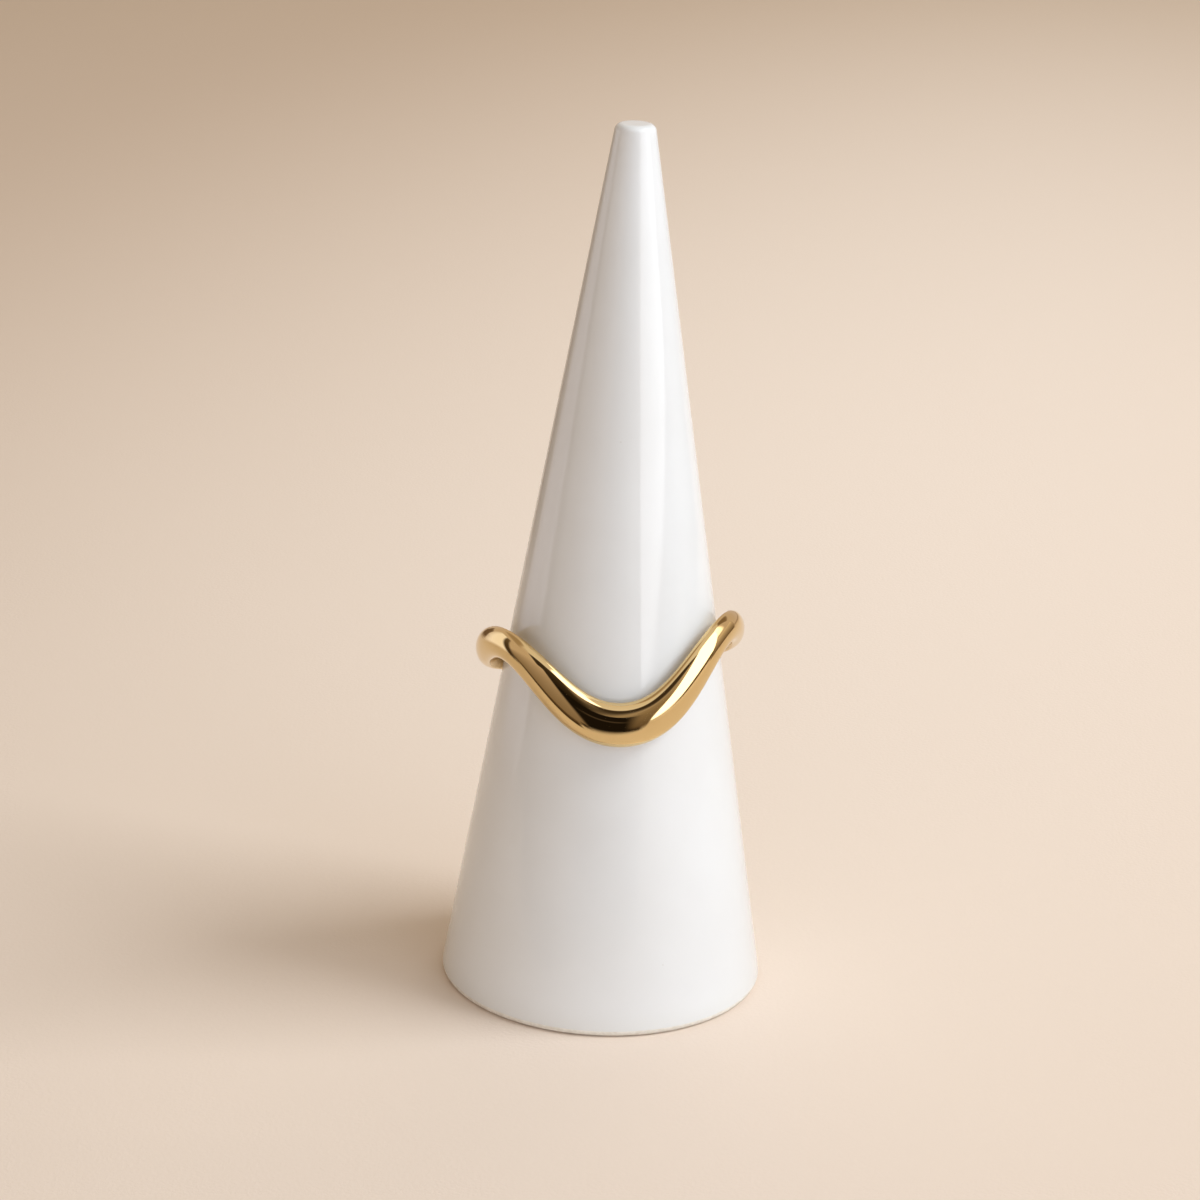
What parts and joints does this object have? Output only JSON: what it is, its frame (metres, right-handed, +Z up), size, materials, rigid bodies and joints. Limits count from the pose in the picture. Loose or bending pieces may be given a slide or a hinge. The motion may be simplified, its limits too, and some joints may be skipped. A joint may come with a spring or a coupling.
{
  "type": "stackable wave ring on a ring cone",
  "caption": "Domed wave-shaped stackable ring in polished yellow gold, resting on a plain white glazed ring cone with an open foot.",
  "frame": {"origin": "middle of the cone's foot, on the surface it stands on", "axes": "+Z up along the cone's axis, the ring's front valley towards -Y, +X to the right seen from the front"},
  "size_m": [0.0236, 0.0236, 0.0638],
  "materials": {
    "polished_gold": "mirror-polished yellow gold",
    "white_glaze": "glossy white glaze, bare on the foot rim"
  },
  "bodies": {
    "root": {"wave_ring": "polished_gold", "ring_cone": "white_glaze"}
  },
  "joints": []
}
